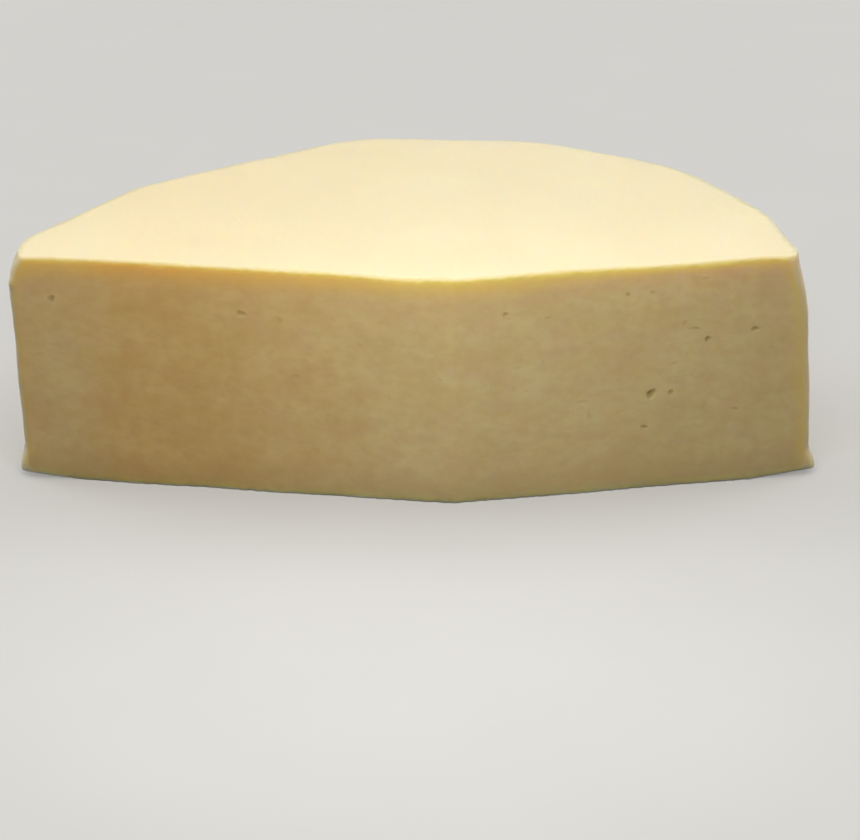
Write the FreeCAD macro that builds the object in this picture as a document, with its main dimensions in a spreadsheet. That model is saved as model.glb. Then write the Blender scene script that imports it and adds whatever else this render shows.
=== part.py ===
import FreeCAD, Part
import math
import os
import Sketcher

# A semi-cured cheese wheel with a wedge cut out of its front, as one solid piece of food.
# +X runs to the right of someone facing the two cut faces, +Y runs away from them, and +Z
# is up. Everything is built round the middle of the wheel's underside, and the finished piece
# is then moved so that its origin is the bottom centre of its box.

# One driving dimension a row: alias, value in mm or degrees, and what it is.
SIZES = [
    ("wheel_radius", 87.5, "wheel's middle to a typical soft corner of its wall"),
    ("wheel_height", 50.0, "underside to top"),
    ("lean_across", 2.2, "how far the slumped top has moved towards -X"),
    ("rim_lift", 1.4, "height of the underside's outer edge above the surface"),
    ("rim_lift_width", 13.0, "width of the ring that lifts off the surface"),
    ("lip_out", 1.3, "how far the lip at the mould's foot stands proud of the wall"),
    ("lip_height", 6.0, "height at which that lip has died away into the wall"),
    ("lip_crest_height", 3.2, "height of the lip's rounded crest"),
    ("lip_crest_out", 1.05, "how far that crest stands proud of the wall"),
    ("shoulder_in", 2.0, "how far the wall draws in below the top edge"),
    ("shoulder_drop", 12.0, "height of the stretch that draws in"),
    ("shoulder_bend_in", 0.85, "how far it has drawn in at its bend"),
    ("shoulder_bend_drop", 6.0, "distance of that bend below the top"),
    ("edge_round", 0.8, "size of the worn top edge"),
    ("apex_right", 7.0, "apex edge of the cut, from the wheel's middle towards +X"),
    ("apex_front", 16.0, "apex edge of the cut, from the wheel's middle towards -Y"),
    ("right_cut_turn", 11.8, "turn of the right cut face, back from +X"),
    ("left_cut_turn", 9.1, "turn of the left cut face, back from -X"),
]

# The wall was pressed in cloth, so it has soft flats between ten corners: bearing from +X in
# degrees, how far out the corner is from wheel_radius, and the corner's rounding radius. The
# last three lie in front of the cut and only set the flats that the knife went through.
CORNERS = [
    (1.5, -2.8, 8.0),
    (20.0, -1.5, 50.0),
    (44.8, 3.0, 50.0),
    (70.0, 4.4, 40.0),
    (99.2, 2.4, 33.0),
    (142.0, -7.0, 24.0),
    (174.5, -0.1, 21.0),
    (214.0, 2.5, 30.0),
    (262.0, 0.5, 30.0),
    (313.0, 0.2, 30.0),
]

# Eyes, the small holes that gas left in the paste. Each row has the face, how far short of
# wheel_radius the eye is along that face from the apex edge, its height above mid-height, and
# its own width, height and depth.
EYES = [
    ("right", 44.6, -3.4, 2.1, 2.6, 1.1),
    ("right", 40.2, -3.0, 1.1, 2.4, 0.9),
    ("right", 39.7, 3.3, 1.5, 1.8, 0.9),
    ("right", 32.4, 8.1, 1.7, 1.4, 0.8),
    ("right", 21.9, 9.6, 2.4, 1.5, 0.9),
    ("right", 45.9, -10.9, 1.6, 1.3, 0.8),
    ("right", 59.7, -4.0, 3.0, 1.3, 0.6),
    ("left", 42.3, 15.3, 4.0, 2.0, 0.9),
    ("left", 1.2, 16.3, 1.6, 1.4, 0.8),
    ("left", 67.2, 9.8, 1.8, 1.4, 0.6),
]

# The wall's outline at each level: name, height above the underside, and how far it stands
# outside the plain wall, both as expressions in the driving dimensions.
LEVELS = [
    ("underside", "0", "Sizes.lip_out - Sizes.rim_lift_width"),
    ("rim", "Sizes.rim_lift", "Sizes.lip_out"),
    ("lip_crest", "Sizes.lip_crest_height", "Sizes.lip_crest_out"),
    ("waist", "Sizes.lip_height", "0"),
    ("wall_top", "Sizes.wheel_height - Sizes.shoulder_drop", "0"),
    ("shoulder_bend", "Sizes.wheel_height - Sizes.shoulder_bend_drop", "-Sizes.shoulder_bend_in"),
    ("shoulder_top", "Sizes.wheel_height - Sizes.edge_round", "-Sizes.shoulder_in"),
    ("top", "Sizes.wheel_height", "-Sizes.shoulder_in - Sizes.edge_round"),
]

# The bands between those levels, from the ground up: name, lowest level and highest level.
# A band of two levels is straight, and one of three curves gently through the middle one.
BANDS = [
    ("lifted_ring", "underside", "rim"),
    ("lip_band", "rim", "waist"),
    ("wall_band", "waist", "wall_top"),
    ("shoulder_band", "wall_top", "shoulder_top"),
    ("top_edge", "shoulder_top", "top"),
]

# The cut's outline runs this many wheel radii out, well clear of the wall.
CUT_REACH = 2

# The cut leaves about half of the wheel: the least and the most share of it that may be left.
LEAST_LEFT, MOST_LEFT = 0.35, 0.75

doc = FreeCAD.newDocument("CheeseWheel")
sheet = doc.addObject("Spreadsheet::Sheet", "Sizes")


def list_sizes():
    """Every driving dimension as (alias, value, meaning), eyes and corners included."""
    rows = list(SIZES)
    for number, (bearing, out, rounding) in enumerate(CORNERS, 1):
        rows.append(("corner_%d_bearing" % number, bearing, "bearing of soft corner from +X"))
        rows.append(("corner_%d_out" % number, out, "how far outside wheel_radius"))
        rows.append(("corner_%d_round" % number, rounding, "rounding radius"))
    for number, (face, short, above, width, tall, deep) in enumerate(EYES, 1):
        rows.append(("eye_%d_short" % number, short, "short of wheel_radius, on the %s face" % face))
        rows.append(("eye_%d_above" % number, above, "height above the wheel's mid-height"))
        rows.append(("eye_%d_width" % number, width, "width along the face"))
        rows.append(("eye_%d_tall" % number, tall, "height of the hole"))
        rows.append(("eye_%d_deep" % number, deep, "depth into the paste"))
    return rows


for row, (alias, value, meaning) in enumerate(list_sizes(), 1):
    sheet.set("A%d" % row, alias)
    sheet.set("B%d" % row, repr(value))
    sheet.setAlias("B%d" % row, alias)
    sheet.set("C%d" % row, meaning)
doc.recompute()


def origin_plane(body, role):
    """The body's own origin plane of that role, such as XY_Plane."""
    return next(feature for feature in body.Origin.OriginFeatures if feature.Role == role)


def flat_sketch(body, name, height):
    """A sketch parallel to the ground, at a height given as an expression."""
    sketch = body.newObject("Sketcher::SketchObject", name)
    sketch.AttachmentSupport = [(origin_plane(body, "XY_Plane"), "")]
    sketch.MapMode = "FlatFace"
    sketch.setExpression("AttachmentOffset.Base.z", height)
    return sketch


def pin_point(sketch, geometry, position, across, forward):
    """Tie a point of the sketch to two expressions, its distances from the wheel's middle."""
    for kind, expression in (("DistanceX", across), ("DistanceY", forward)):
        value = getattr(sketch.getPoint(geometry, position), kind[-1].lower())
        number = sketch.addConstraint(Sketcher.Constraint(kind, -1, 1, geometry, position, value))
        sketch.setExpression("Constraints[%d]" % number, expression)


def corner_places(height, spread):
    """Expressions for each soft corner's X and Y, on the outline spread outwards."""
    places = []
    for number in range(1, len(CORNERS) + 1):
        reach = "(Sizes.wheel_radius + Sizes.corner_%d_out + (%s))" % (number, spread)
        bearing = "Sizes.corner_%d_bearing" % number
        lean = "Sizes.lean_across * (%s) / Sizes.wheel_height" % height
        places.append(("%s * cos(%s) - %s" % (reach, bearing, lean), "%s * sin(%s)" % (reach, bearing)))
    return places


def evaluate(expression):
    """The expression's present value, as a plain number."""
    return float(sheet.evalExpression(expression))


def outline_sketch(body, name, height, spread):
    """The wheel's outline at one level: straight flats joined by tangent arcs."""
    sketch = flat_sketch(body, name, height)
    places = corner_places(height, spread)
    points = [FreeCAD.Vector(evaluate(across), evaluate(forward), 0) for across, forward in places]
    count = len(points)
    roundings = [evaluate("Sizes.corner_%d_round" % number) for number in range(1, count + 1)]
    starts, ends, arcs = [], [], []
    for index, corner in enumerate(points):
        back = (points[index - 1] - corner).normalize()
        ahead = (points[(index + 1) % count] - corner).normalize()
        half = back.getAngle(ahead) / 2
        reach = roundings[index] / math.tan(half)
        centre = corner + (back + ahead).normalize() * (roundings[index] / math.sin(half))
        middle = centre + (corner - centre).normalize() * roundings[index]
        starts.append(corner + back * reach)
        ends.append(corner + ahead * reach)
        arcs.append(Part.Arc(starts[-1], middle, ends[-1]))
    sketch.addGeometry(arcs, False)
    flats = [Part.LineSegment(ends[index], starts[(index + 1) % count]) for index in range(count)]
    sketch.addGeometry(flats, False)
    sketch.addGeometry([Part.Point(corner) for corner in points], True)
    for index in range(count):
        arc, flat, corner = index, count + index, 2 * count + index
        flat_before = count + (index - 1) % count
        sketch.addConstraint(Sketcher.Constraint("Tangent", flat_before, 2, arc, 1))
        sketch.addConstraint(Sketcher.Constraint("Tangent", arc, 2, flat, 1))
        sketch.addConstraint(Sketcher.Constraint("PointOnObject", corner, 1, flat_before))
        sketch.addConstraint(Sketcher.Constraint("PointOnObject", corner, 1, flat))
        radius = sketch.addConstraint(Sketcher.Constraint("Radius", arc, roundings[index]))
        sketch.setExpression("Constraints[%d]" % radius, "Sizes.corner_%d_round" % (index + 1))
        pin_point(sketch, corner, 1, *places[index])
    return sketch


def wheel(body):
    """The whole wheel, lofted band by band from the ground up."""
    names = [name for name, height, spread in LEVELS]
    sections = [outline_sketch(body, *level) for level in LEVELS]
    doc.recompute()
    for name, lowest, highest in BANDS:
        first, last = names.index(lowest), names.index(highest)
        band = body.newObject("PartDesign::AdditiveLoft", name)
        band.Profile = sections[first]
        band.Sections = sections[first + 1:last + 1]
        doc.recompute()


def cut_faces(body):
    """Take away all that lies in front of the two upright cut faces."""
    sketch = flat_sketch(body, "cut_lines", "0")
    reach = "Sizes.wheel_radius * %d" % CUT_REACH
    apex = ("Sizes.apex_right", "-Sizes.apex_front")
    right_end = ("%s + %s * cos(Sizes.right_cut_turn)" % (apex[0], reach),
                 "%s + %s * sin(Sizes.right_cut_turn)" % (apex[1], reach))
    left_end = ("%s - %s * cos(Sizes.left_cut_turn)" % (apex[0], reach),
                "%s + %s * sin(Sizes.left_cut_turn)" % (apex[1], reach))
    right_front = (right_end[0], "-%s" % reach)
    left_front = (left_end[0], "-%s" % reach)
    corners = [apex, left_end, left_front, right_front, right_end]
    points = [FreeCAD.Vector(evaluate(across), evaluate(forward), 0) for across, forward in corners]
    count = len(points)
    sketch.addGeometry([Part.LineSegment(points[index], points[(index + 1) % count])
                        for index in range(count)], False)
    for index in range(count):
        sketch.addConstraint(Sketcher.Constraint("Coincident", index, 2, (index + 1) % count, 1))
        pin_point(sketch, index, 1, *corners[index])
    pocket = body.newObject("PartDesign::Pocket", "cut")
    pocket.Profile = sketch
    pocket.Type = "ThroughAll"
    pocket.Reversed = True
    doc.recompute()


def eye(body, number, face):
    """One eye: an ellipsoid with its middle on a cut face, taken out of the paste."""
    side, turn = (1, "Sizes.right_cut_turn") if face == "right" else (-1, "Sizes.left_cut_turn")
    hole = body.newObject("PartDesign::SubtractiveEllipsoid", "eye_%d" % number)
    hole.setExpression("Radius1", "Sizes.eye_%d_tall / 2" % number)
    hole.setExpression("Radius2", "Sizes.eye_%d_width / 2" % number)
    hole.setExpression("Radius3", "Sizes.eye_%d_deep" % number)
    hole.Placement = FreeCAD.Placement(FreeCAD.Vector(), FreeCAD.Rotation(FreeCAD.Vector(0, 0, 1), 1))
    along = "(Sizes.wheel_radius - Sizes.eye_%d_short)" % number
    hole.setExpression("Placement.Base.x", "Sizes.apex_right + %d * %s * cos(%s)" % (side, along, turn))
    hole.setExpression("Placement.Base.y", "%s * sin(%s) - Sizes.apex_front" % (along, turn))
    hole.setExpression("Placement.Base.z", "Sizes.wheel_height / 2 + Sizes.eye_%d_above" % number)
    hole.setExpression("Placement.Rotation.Angle", "%d * %s" % (side, turn))
    doc.recompute()


cheese = doc.addObject("PartDesign::Body", "Cheese")
cheese.Label = "cheese_wheel"
wheel(cheese)
wheel_volume = cheese.Shape.Volume
cut_faces(cheese)
if not LEAST_LEFT < cheese.Shape.Volume / wheel_volume < MOST_LEFT:
    raise RuntimeError("the cut left %.0f mm3 of %.0f" % (cheese.Shape.Volume, wheel_volume))
for number, row in enumerate(EYES, 1):
    faces_before = len(cheese.Shape.Faces)
    eye(cheese, number, row[0])
    if len(cheese.Shape.Faces) <= faces_before:
        raise RuntimeError("eye %d opened nothing" % number)

box = cheese.Shape.optimalBoundingBox(False, False)
cheese.Placement.Base = FreeCAD.Vector(-box.Center.x, -box.Center.y, -box.ZMin)
doc.recompute()

for item in doc.Objects:
    if "Invalid" in item.State or "Error" in item.State:
        raise RuntimeError("%s did not build: %s" % (item.Name, item.State))
if cheese.Shape.isNull() or not cheese.Shape.isValid() or len(cheese.Shape.Solids) != 1:
    raise RuntimeError("the cheese is not one valid solid")

os.makedirs("parts", exist_ok=True)
cheese.Shape.exportStep("parts/%s.step" % cheese.Label)
box = cheese.Shape.optimalBoundingBox(False, False)
print("box", [round(value, 2) for value in (box.XMin, box.YMin, box.ZMin, box.XMax, box.YMax, box.ZMax)])
print("volume in mm3", round(cheese.Shape.Volume), "faces", len(cheese.Shape.Faces))
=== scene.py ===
"""Builds the look of a cut semi-cured cheese wheel around its CAD frame, on a plain stage."""

import math

import bmesh
import bpy
import numpy as np
from bpy.props import FloatProperty, FloatVectorProperty, PointerProperty
from mathutils import Matrix, Vector, geometry


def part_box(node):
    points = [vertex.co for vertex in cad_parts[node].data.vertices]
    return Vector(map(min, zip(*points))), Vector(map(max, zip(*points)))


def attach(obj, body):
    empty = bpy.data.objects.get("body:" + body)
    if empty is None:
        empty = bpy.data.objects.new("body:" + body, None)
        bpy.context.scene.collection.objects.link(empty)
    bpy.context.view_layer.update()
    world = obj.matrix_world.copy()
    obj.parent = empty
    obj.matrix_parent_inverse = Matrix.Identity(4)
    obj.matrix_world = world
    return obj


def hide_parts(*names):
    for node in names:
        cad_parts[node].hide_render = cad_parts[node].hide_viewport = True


bl_info = {
    "name": "Cut Cheese Wheel",
    "version": (1, 0, 0),
    "blender": (4, 5, 0),
    "location": "3D View > Sidebar > Cheese",
    "description": "Builds a cut semi-cured cheese wheel on a pale studio floor",
    "category": "Add Mesh",
}

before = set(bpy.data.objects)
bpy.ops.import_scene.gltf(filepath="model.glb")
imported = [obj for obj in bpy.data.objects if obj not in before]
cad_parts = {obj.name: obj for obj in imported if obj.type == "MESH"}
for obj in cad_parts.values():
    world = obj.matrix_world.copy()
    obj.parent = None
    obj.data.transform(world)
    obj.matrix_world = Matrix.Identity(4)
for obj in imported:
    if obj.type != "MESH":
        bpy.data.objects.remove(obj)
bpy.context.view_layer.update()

WHEEL_NODE = "cheese_wheel"
WHEEL_BODY = "root"
PIECE_NAME = "cheese_body"

MM = 0.001  # one millimetre in the scene's metres
WHEEL_LOW, WHEEL_HIGH = (np.array(corner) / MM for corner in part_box(WHEEL_NODE))


def linear(hex_colour):
    """Turns an sRGB hex value such as F6D995 into Blender's linear red, green and blue."""
    parts = [int(hex_colour[i : i + 2], 16) / 255 for i in (0, 2, 4)]
    return tuple(p / 12.92 if p <= 0.04045 else ((p + 0.055) / 1.055) ** 2.4 for p in parts)


# ---------------------------------------------------------------------------
# The wheel's form, in millimetres about the middle of its underside

# The pressed wheel isn't round: worn corners joined by nearly straight sides.
# Bearing anticlockwise from +X in degrees, distance out from the wheel radius, rounding radius.
# The last three are cut away with the front of the wheel.
WHEEL_CORNERS = (
    (1.5, -2.8, 8.0),
    (20.0, -1.5, 50.0),
    (44.8, 3.0, 50.0),
    (70.0, 4.4, 40.0),
    (99.2, 2.4, 33.0),
    (142.0, -7.0, 24.0),
    (174.5, -0.1, 21.0),
    (214.0, 2.5, 30.0),
    (262.0, 0.5, 30.0),
    (313.0, 0.2, 30.0),
)

# Height and how far the side wall stands out there, in mm: a foot lip pressed out at the base,
# a plain middle, and a shoulder that bends in to the top. The wheel's two ends slumped differently.
RIGHT_WALL = (
    (1.4, 1.30), (2.3, 1.25), (3.5, 0.90), (4.7, 0.35), (6.0, 0.00), (9.0, 0.20),
    (17.0, 0.35), (25.0, 0.20), (33.0, 0.20), (36.5, 0.05), (39.2, -0.25), (41.5, -0.60),
    (43.7, -1.20), (46.0, -1.75), (48.2, -2.20), (49.4, -2.30), (50.0, -2.60),
)
LEFT_WALL = (
    (1.4, 1.30), (3.2, 1.05), (6.0, -0.10), (20.0, -0.20), (30.0, -0.15), (36.0, 0.00),
    (40.0, 0.15), (43.0, 0.00), (45.5, -0.45), (47.5, -1.20), (48.8, -1.95), (50.0, -2.60),
)

# The small eyes that the cuts laid open: which cut, how far along it from the front edge, how far
# above the board, width, height and depth of the hole, all in mm, and its tilt in degrees.
EYES = (
    ("right", 42.9, 21.6, 2.2, 1.6, 1.3, 20),
    ("right", 47.3, 21.7, 0.9, 1.5, 0.8, -15),
    ("right", 65.6, 34.6, 1.8, 1.0, 0.9, -10),
    ("right", 55.1, 33.1, 1.5, 1.2, 0.9, 15),
    ("right", 52.1, 35.8, 2.1, 0.7, 0.6, 0),
    ("right", 49.9, 37.3, 0.9, 0.8, 0.5, 40),
    ("right", 42.7, 44.4, 1.1, 0.8, 0.6, 10),
    ("right", 37.3, 44.1, 0.9, 1.0, 0.7, 0),
    ("right", 10.9, 41.8, 1.2, 0.8, 0.8, 10),
    ("right", 20.0, 40.5, 1.3, 0.7, 0.4, -10),
    ("right", 47.8, 28.3, 1.6, 0.8, 0.5, 10),
    ("right", 41.6, 14.1, 1.4, 1.0, 0.7, -30),
    ("right", 27.8, 21.0, 2.6, 0.9, 0.4, 5),
    ("right", 61.7, 16.8, 1.7, 0.6, 0.5, -20),
    ("right", 29.4, 17.7, 0.9, 1.2, 0.4, 0),
    ("right", 69.4, 30.2, 1.2, 0.9, 0.3, 0),
    ("right", 19.2, 30.5, 0.9, 1.3, 0.3, 10),
    ("right", 13.6, 29.8, 1.6, 0.5, 0.3, 0),
    ("right", 15.6, 24.5, 0.8, 0.7, 0.3, 0),
    ("right", 54.2, 46.6, 1.4, 0.5, 0.4, 0),
    ("left", 86.3, 41.3, 1.7, 1.2, 0.9, 20),
    ("left", 45.2, 40.3, 2.4, 1.1, 0.8, -15),
    ("left", 37.0, 39.4, 1.6, 1.3, 0.35, 0),
    ("left", 20.3, 34.8, 1.4, 0.9, 0.35, 0),
    ("left", 33.6, 27.0, 2.0, 0.8, 0.4, 5),
    ("left", 2.9, 28.0, 0.8, 0.7, 0.3, 0),
)

PROFILE_HEIGHT = 50.0  # mm; the wheel that the profiles, the eyes and the burr are given for
WAVE_COUNT = 16  # waves that one layer of unevenness is made of
WAVE_SPREAD = (0.75, 1.45)  # their lengths, in shares of the layer's

# How closely the mesh is laid out
ARC_STEPS = 40  # points on each worn corner
FACE_STEP = 0.62  # mm between points on the cut faces and between rows
WALL_STEP = 1.3
TOP_STEP = 1.3
UNDERSIDE_STEP = 2.6
TIP_STEPS = 5  # points round each upright edge
EDGE_STEPS = 7  # rows round the top and bottom edges
PROFILE_STEPS = 500  # heights at which the side wall's profile is kept
PROFILE_BLUR = 5.0  # how far the profile is eased, in those steps
LEFT_TIP_SOFTER = 1.3  # the left upright edge is this much rounder than the right one
NET_MARGIN = 0.55  # clear strip inside a row before its net of triangles, in spacings
EYE_MARGINS = (1.0, 0.45)  # mm round each eye that is divided finely: once, then twice
ON_FACE = 0.05  # mm behind a cut that still counts as on it
TOP_SLOT, PASTE_SLOT, SIDE_SLOT = 0, 1, 2

# How the surface strays from the plain one, in layers: mm in or out, mm from bump to bump, seed
TOP_SWELLS = ((0.05, 38.0, 11), (0.025, 10.0, 12))
WALL_SWELLS = ((0.12, 24.0, 21), (0.030, 7.0, 22), (0.030, 5.0, 23))
CUT_WAVES = ((0.10, 26.0, 31), (0.022, 3.2, 32))
EDGE_CRUMBS = ((0.09, 3.0, 41), (0.05, 1.3, 42))

# How far in from each face its unevenness dies out, in mm
CUT_REACH = 5.0
WALL_REACH = 6.0
TOP_REACH = 10.0
FRONT_BLEND = 0.6  # width over which the front edge turns from one cut to the other

# The top, in mm
TOP_DROP_WIDTH = 6.5
CUT_BANK = 0.15  # the top stands this much higher along the cuts...
CUT_BANK_WIDTH = 20.0
CUT_BANK_START, CUT_BANK_RUN = 8.0, 20.0  # ...rising over this stretch from the front edge
WORN_DEPTH = 0.4  # the top edge has worn lower just left of the front edge
WORN_PLACE = 3.5
WORN_WIDTH = 6.0

# The lifted rim, and the burr of torn skin where the knife left the left side of the wall, in mm
LIFT_HEIGHT = 8.0  # the lift has died out this far up
LIFT_CURVE = 1.2  # power by which it grows towards the rim
BURR_SIZE = 0.6
BURR_HEIGHT = 44.0
BURR_TALL, BURR_WIDE = 0.9, 1.8
BURR_SKIN = 1.0  # it is no deeper in the wall than this

# The cuts, in mm: the knife left waves that are drawn out upright, and the edges crumbled
WAVE_SQUEEZE = (1.0, 1.0, 0.35)
CRUMBLE_DEPTH = 0.9  # down from the top and up from the base
CRUMBLE_WIDTH = 1.2
CRUMBLE_LOWERS = 0.6  # share of the crumbling that also lowers the top edge

# The eyes, in shares of each eye's own sizes
EYE_SEED = 7
EYE_RIPPLE = (0.10, 0.22)  # least and most that an eye's outline strays from an oval
EYE_REACH = 3.0  # nothing changes farther out than this
EYE_RIM, EYE_HOLLOW, EYE_CURVE = 1.25, 0.45, 1.5
EYE_SHALLOW = 0.9  # mm; eyes less deep than this are flatter than their depth says
EYE_LIP, EYE_LIP_PLACE, EYE_LIP_WIDTH = 0.015, 1.35, 0.25
# Painted shade inside the eyes: how dark at most, how far out it reaches, and the depth at which it
# is full
EYE_SHADE, EYE_SHADE_REACH, EYE_SHADE_DEPTH = 0.70, 1.5, 1.2

# The skin, in mm, is thicker where the wall meets the board and at the shoulder
FOOT_SKIN, FOOT_SKIN_HEIGHT = 1.3, 7.0
SHOULDER_SKIN, SHOULDER_FROM, SHOULDER_RUN = 0.2, 38.0, 8.0
DEPTH_SOFTNESS = 0.5
CUT_SHOWS = 0.9  # width of wall through whose skin the cut paste shows

# The golden band, in mm, is dried paste with painted glow of light through the top edge: it thins
# to the right under the top, and is paler by the wall, most of all at the left end, and near the
# board. A share is how fast it fades inwards.
BAND_THINS, THIN_FROM, THIN_RUN = 1.2, 15.0, 45.0
PALER_WALL, PALER_LEFT, LEFT_FROM, LEFT_RUN = 2.0, 1.5, -20.0, 30.0
PALER_BASE = 2.2
WALL_SHARE, BASE_SHARE = 1.1, 1.8

# Painted warm bounce light on the paste and rind grows from here to the left, and fades again
# towards the far left end, in mm
BOUNCE_FROM, BOUNCE_RUN = 10.0, 70.0
BOUNCE_END_FROM, BOUNCE_END_RUN, BOUNCE_END_LOSS = -62.0, 14.0, 0.6

# How deep light sinks in, in mm, and the share of that for red, green and blue
TOP_SINK, PASTE_SINK, SIDE_SINK = 3.8, 3.8, 1.8
SINK_SHARES = (1.0, 0.80, 0.42)

# The stage, in metres from the middle of the wheel; the front light's from its front and the floor
FLOOR_HALF = 3.0
FLOOR_GAP = 0.05 * MM  # below the underside, so that the two faces never share a plane
OVERHEAD_PLACE, OVERHEAD_SIZE = (0.0, 0.30, 1.1), (3.0, 1.0)
SIDE_PLACE, SIDE_SIZE = (0.8, 0.40, 0.53), (0.6, 0.6)
FRONT_AWAY, FRONT_HEIGHT, FRONT_AIM, FRONT_SIZE = 0.125, 0.155, 0.04, (0.12, 0.07)
BACKDROP = "D6D4D0"
FILM_WIDTH = 36.0  # mm
NEAREST_SEEN = 0.01  # metres in front of the camera


def direction(degrees):
    """Unit vector in plan at a bearing anticlockwise from +X."""
    angle = math.radians(degrees)
    return np.array((math.cos(angle), math.sin(angle)))


def unit(vector):
    return vector / np.linalg.norm(vector)


def unit_rows(vectors):
    return vectors / np.linalg.norm(vectors, axis=1)[:, None]


def cross(a, b):
    """Upright part of the cross product of plan vectors."""
    return a[..., 0] * b[..., 1] - a[..., 1] * b[..., 0]


def ease(x):
    """Smooth step from 0 at x = 0 to 1 at x = 1."""
    x = np.clip(x, 0.0, 1.0)
    return x * x * (3.0 - 2.0 * x)


def unevenness(points, wavelength, seed):
    """Smooth bumps of about unit size and one wavelength apart, the same on every run."""
    random = np.random.default_rng(seed)
    waves = unit_rows(random.normal(size=(WAVE_COUNT, 3)))
    waves *= 2.0 * math.pi / (wavelength * random.uniform(*WAVE_SPREAD, size=(WAVE_COUNT, 1)))
    phases = random.uniform(0.0, 2.0 * math.pi, WAVE_COUNT)
    return np.sin(points @ waves.T + phases).sum(axis=1) / math.sqrt(WAVE_COUNT / 2)


def layered(points, layers):
    """Layers of unevenness added up, in mm."""
    return sum(size * unevenness(points, wavelength, seed) for size, wavelength, seed in layers)


def bell(x):
    """Smooth bump: 1 at x = 0, nearly gone at x = 2 and beyond."""
    return np.exp(-(x**2))


def edge_inset(distance, radius):
    """How far a rounded edge has drawn in at a distance from its end."""
    gap = np.clip(radius - distance, 0.0, radius)
    return radius - np.sqrt(radius * radius - gap * gap)


class WheelForm:
    """The wheel's form in plan and height, from the sizes in the panel, all in mm."""

    def __init__(self, shape):
        self.height = shape.wheel_height / MM
        self.radius = shape.wheel_radius / MM
        self.lean = shape.lean_across / MM
        self.rim_lift = shape.rim_lift / MM
        self.rim_lift_width = shape.rim_lift_width / MM
        self.top_drop = shape.top_drop / MM
        self.crown = shape.crown / MM
        self.cut_edge = shape.cut_edge_round / MM
        self.base_edge = shape.base_edge_round / MM
        self.tip_round = shape.upright_edge_round / MM
        self.front_round = shape.front_edge_round / MM
        self.apex = np.array((shape.apex_right, -shape.apex_front)) / MM
        self.right = direction(math.degrees(shape.right_cut_turn))
        self.left = direction(180.0 - math.degrees(shape.left_cut_turn))
        self.right_out = np.array((self.right[1], -self.right[0]))
        self.left_out = np.array((-self.left[1], self.left[0]))
        self.stretch = self.height / PROFILE_HEIGHT
        self.heights = np.linspace(0.0, self.height, PROFILE_STEPS + 1)
        reach = round(3 * PROFILE_BLUR)
        kernel = np.exp(-0.5 * (np.arange(-reach, reach + 1) / PROFILE_BLUR) ** 2)
        self.walls = []
        for profile in (RIGHT_WALL, LEFT_WALL):
            knots = np.array(profile) * (self.stretch, 1.0)
            out = np.interp(self.heights, knots[:, 0], knots[:, 1])
            padded = np.pad(out, reach, mode="edge")
            self.walls.append(np.convolve(padded, kernel / kernel.sum(), mode="valid"))

    def wall_out(self, height, bearing):
        """How far the side wall stands out: the right end's profile turns into the left's."""
        right, left = (np.interp(height, self.heights, wall) for wall in self.walls)
        share = 0.5 * (1.0 - math.cos(math.radians(bearing)))
        return right + (left - right) * share

    def corners(self, height):
        """The outline's corner points at one height or an array of heights."""
        height = np.asarray(height, float)
        shift = -self.lean * height / self.height
        found = []
        for bearing, out, _ in WHEEL_CORNERS:
            reach = self.radius + out + self.wall_out(height, bearing)
            along = direction(bearing)
            found.append(np.stack((reach * along[0] + shift, reach * along[1]), axis=-1))
        return found

    def outline(self, height):
        """The uncut wheel from above at one height, anticlockwise."""
        corners = self.corners(height)
        arcs = []
        for i, (_, _, rounding) in enumerate(WHEEL_CORNERS):
            here = corners[i]
            to_last = unit(corners[i - 1] - here)
            to_next = unit(corners[(i + 1) % len(corners)] - here)
            half = 0.5 * math.acos(float(to_last @ to_next))
            centre = here + unit(to_last + to_next) * rounding / math.sin(half)
            first = here + to_last * rounding / math.tan(half) - centre
            start = math.atan2(first[1], first[0])
            angles = start + np.linspace(0.0, math.pi - 2.0 * half, ARC_STEPS)
            arcs.append(centre + rounding * np.stack((np.cos(angles), np.sin(angles)), axis=1))
        return np.vstack(arcs)

    def wall_between_cuts(self, height, inset):
        """The outline that the cuts left, from the right cut round the back to the left one."""
        ring = self.outline(height)
        behind_right = cross(self.right, ring - self.apex) - inset
        behind_left = -cross(self.left, ring - self.apex) - inset
        kept = (behind_right > 0.0) & (behind_left > 0.0)
        first = next(i for i in range(len(ring)) if kept[i] and not kept[i - 1])
        order = [(first - 1 + i) % len(ring) for i in range(int(kept.sum()) + 2)]
        ring, behind_right, behind_left = ring[order], behind_right[order], behind_left[order]
        share = behind_right[0] / (behind_right[0] - behind_right[1])
        ring[0] += share * (ring[1] - ring[0])
        share = behind_left[-1] / (behind_left[-1] - behind_left[-2])
        ring[-1] += share * (ring[-2] - ring[-1])
        return ring

    def behind_cuts(self, points):
        """How deep behind the right cut and behind the left one each point lies, in plan."""
        from_apex = points[:, :2] - self.apex
        return cross(self.right, from_apex), -cross(self.left, from_apex)

    def behind_wall(self, points):
        """How deep inside the side wall each point lies, in plan, with the corners eased."""
        corners = self.corners(points[:, 2])
        total = np.zeros(len(points))
        softness = 1.2
        nearest, farthest = -5.0, 90.0
        for i, corner in enumerate(corners):
            following = corners[(i + 1) % len(corners)]
            depth = cross(unit_rows(following - corner), points[:, :2] - corner)
            total += np.exp(-np.clip(depth, nearest, farthest) / softness)
        return -softness * np.log(total)


def rounded_corner(before, corner, after, steps):
    """Points strictly between before and after on a curve that the corner pulls."""
    t = np.linspace(0.0, 1.0, steps + 2)[1:-1, None]
    return (1 - t) ** 2 * before + 2 * t * (1 - t) * corner + t**2 * after


def lengths_along(line):
    """How far along a line in plan each of its points lies."""
    return np.concatenate(([0.0], np.cumsum(np.linalg.norm(np.diff(line, axis=0), axis=1))))


def places_along(line, wanted):
    """The points that lie so far along a line in plan."""
    lengths = lengths_along(line)
    return np.stack([np.interp(wanted, lengths, line[:, k]) for k in (0, 1)], axis=1)


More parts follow.
